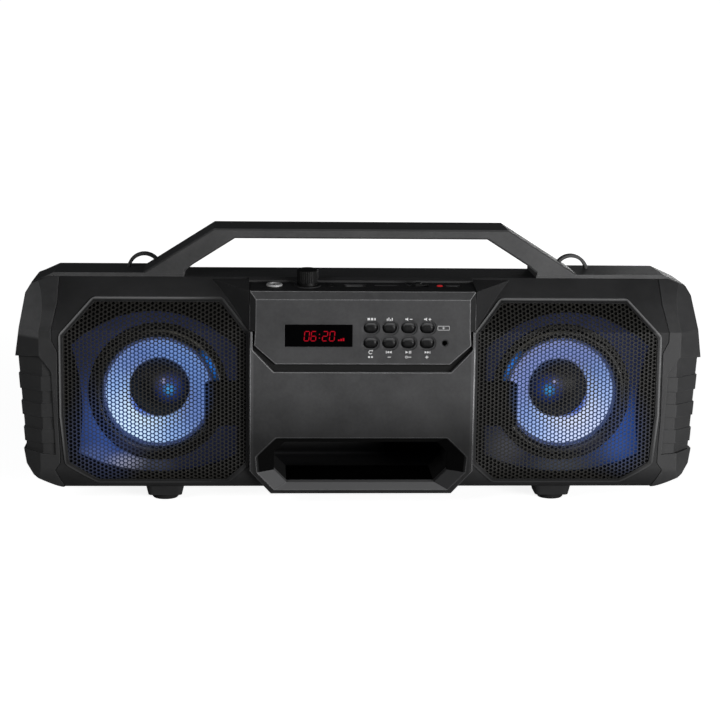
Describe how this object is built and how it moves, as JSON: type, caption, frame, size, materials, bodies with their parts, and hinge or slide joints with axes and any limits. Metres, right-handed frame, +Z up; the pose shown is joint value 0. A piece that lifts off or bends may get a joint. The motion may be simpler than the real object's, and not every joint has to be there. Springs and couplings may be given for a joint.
{
  "type": "portable boombox",
  "caption": "Portable stereo boombox with two full-range drivers behind perforated grilles, a bass port, a control fascia and a fixed carry handle.",
  "frame": {"origin": "middle of the footprint, on the surface that the feet stand on", "axes": "+X to the right of someone facing the front, along the length; -Y is the front; +Z up"},
  "size_m": [0.478, 0.121, 0.19],
  "materials": {
    "housing": "fine matte black ABS",
    "end_cap": "matte black moulding",
    "handle": "satin black plastic",
    "bezel": "satin black rim",
    "grille": "black perforated steel",
    "fascia": "gunmetal satin paint",
    "baffle": "dark inner plastic",
    "led": "black lamp housing",
    "window": "smoked display window",
    "button": "soft black buttons",
    "knob": "ribbed black knob",
    "nickel": "nickel-plated metal",
    "socket": "tinned socket shells",
    "circuit": "green circuit board",
    "steel": "pressed steel",
    "ferrite": "dark ferrite",
    "cone": "coated paper cone",
    "surround": "black rubber roll",
    "coil": "copper wire on a former",
    "light": "red indicator",
    "battery": "blue shrink wrap",
    "rubber": "black rubber"
  },
  "bodies": {
    "chassis": {"front_shell": "housing", "rear_shell": "housing", "shell_screws": "steel", "left_end_cap": "end_cap", "right_end_cap": "end_cap", "carry_handle": "handle", "left_strap_lug": "handle", "right_strap_lug": "handle", "left_grille_bezel": "bezel", "right_grille_bezel": "bezel", "left_grille": "grille", "right_grille": "grille", "left_baffle": "baffle", "right_baffle": "baffle", "left_led_lamp": "led", "right_led_lamp": "led", "center_fascia": "fascia", "control_panel": "fascia", "port_duct": "housing", "display_window": "window", "display_module": "led", "button_board": "circuit", "tact_switches": "led", "top_deck": "housing", "microphone_jack": "nickel", "aux_jack": "knob", "usb_socket": "socket", "card_socket": "socket", "charge_socket": "socket", "charge_light": "light", "power_switch": "led", "volume_control": "socket", "left_driver_basket": "steel", "right_driver_basket": "steel", "left_driver_magnet": "ferrite", "right_driver_magnet": "ferrite", "left_surround": "surround", "right_surround": "surround", "left_spider": "coil", "right_spider": "coil", "amplifier_board": "circuit", "battery_pack": "battery", "rubber_feet": "rubber"},
    "left_cone_assembly": {"left_cone": "cone", "left_dust_cap": "cone", "left_voice_coil": "coil"},
    "right_cone_assembly": {"right_cone": "cone", "right_dust_cap": "cone", "right_voice_coil": "coil"},
    "mode_key": {"mode_button": "button"},
    "equalizer_key": {"equalizer_button": "button"},
    "volume_down_key": {"volume_down_button": "button"},
    "volume_up_key": {"volume_up_button": "button"},
    "repeat_key": {"repeat_button": "button"},
    "previous_key": {"previous_button": "button"},
    "play_pause_key": {"play_pause_button": "button"},
    "next_key": {"next_button": "button"},
    "volume": {"volume_knob": "knob", "volume_shaft": "socket"},
    "power": {"power_slider": "knob"}
  },
  "joints": [
    {"name": "left_cone_travel", "type": "slide", "parent": "chassis", "child": "left_cone_assembly", "axis": [0, -1, 0], "range_m": [-0.003, 0.003], "stiffness_N_per_m": 1500, "deforming": ["left_surround", "left_spider"]},
    {"name": "right_cone_travel", "type": "slide", "parent": "chassis", "child": "right_cone_assembly", "axis": [0, -1, 0], "range_m": [-0.003, 0.003], "stiffness_N_per_m": 1500, "deforming": ["right_surround", "right_spider"]},
    {"name": "mode_press", "type": "slide", "parent": "chassis", "child": "mode_key", "axis": [0, 1, 0], "range_m": [0, 0.0007], "stiffness_N_per_m": 1200},
    {"name": "equalizer_press", "type": "slide", "parent": "chassis", "child": "equalizer_key", "axis": [0, 1, 0], "range_m": [0, 0.0007], "stiffness_N_per_m": 1200},
    {"name": "volume_down_press", "type": "slide", "parent": "chassis", "child": "volume_down_key", "axis": [0, 1, 0], "range_m": [0, 0.0007], "stiffness_N_per_m": 1200},
    {"name": "volume_up_press", "type": "slide", "parent": "chassis", "child": "volume_up_key", "axis": [0, 1, 0], "range_m": [0, 0.0007], "stiffness_N_per_m": 1200},
    {"name": "repeat_press", "type": "slide", "parent": "chassis", "child": "repeat_key", "axis": [0, 1, 0], "range_m": [0, 0.0007], "stiffness_N_per_m": 1200},
    {"name": "previous_press", "type": "slide", "parent": "chassis", "child": "previous_key", "axis": [0, 1, 0], "range_m": [0, 0.0007], "stiffness_N_per_m": 1200},
    {"name": "play_pause_press", "type": "slide", "parent": "chassis", "child": "play_pause_key", "axis": [0, 1, 0], "range_m": [0, 0.0007], "stiffness_N_per_m": 1200},
    {"name": "next_press", "type": "slide", "parent": "chassis", "child": "next_key", "axis": [0, 1, 0], "range_m": [0, 0.0007], "stiffness_N_per_m": 1200},
    {"name": "volume_turn", "type": "hinge", "parent": "chassis", "child": "volume", "pos_m": [-0.0377, -0.03965, 0.15282], "axis": [0, -0.0792, 0.9969], "range_deg": [-150, 150]},
    {"name": "power_slide", "type": "slide", "parent": "chassis", "child": "power", "axis": [-1, 0, 0], "range_m": [0, 0.004]}
  ]
}
